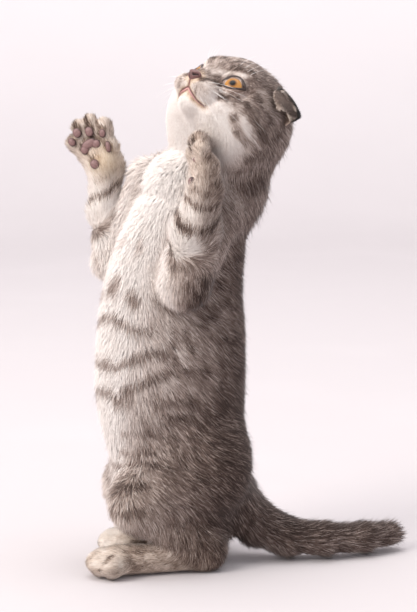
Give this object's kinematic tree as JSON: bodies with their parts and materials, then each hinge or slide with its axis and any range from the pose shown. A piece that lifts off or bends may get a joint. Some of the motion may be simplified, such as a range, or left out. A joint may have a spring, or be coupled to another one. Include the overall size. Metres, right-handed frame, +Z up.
{
  "type": "scottish fold kitten",
  "caption": "Folded-ear silver tabby kitten standing upright on its hind feet, forepaws raised, head turned up and tail laid along the ground.",
  "frame": {"origin": "middle of the footprint, on the ground", "axes": "+X is the kitten's left, -Y the way its hind feet point, +Z up along its upright body"},
  "size_m": [0.1044, 0.1796, 0.2721],
  "materials": {
    "coat": "short plush fur",
    "pale_coat": "short plush fur",
    "dark_coat": "short plush fur",
    "nose_leather": "bare moist skin",
    "eye": "wet and clear"
  },
  "bodies": {
    "root": {"head": "coat", "neck": "pale_coat", "chest": "pale_coat", "belly": "coat", "hips": "coat", "tail_base": "dark_coat", "tail_middle": "dark_coat", "tail_tip": "dark_coat", "ear_left": "dark_coat", "ear_right": "dark_coat", "eye_left": "eye", "eye_right": "eye", "nose": "nose_leather", "upper_arm_left": "coat", "upper_arm_right": "coat", "forearm_left": "coat", "forearm_right": "coat", "forepaw_left": "pale_coat", "forepaw_right": "pale_coat", "thigh_left": "coat", "thigh_right": "coat", "shank_left": "coat", "shank_right": "coat", "hindfoot_left": "coat", "hindfoot_right": "coat"}
  },
  "joints": []
}
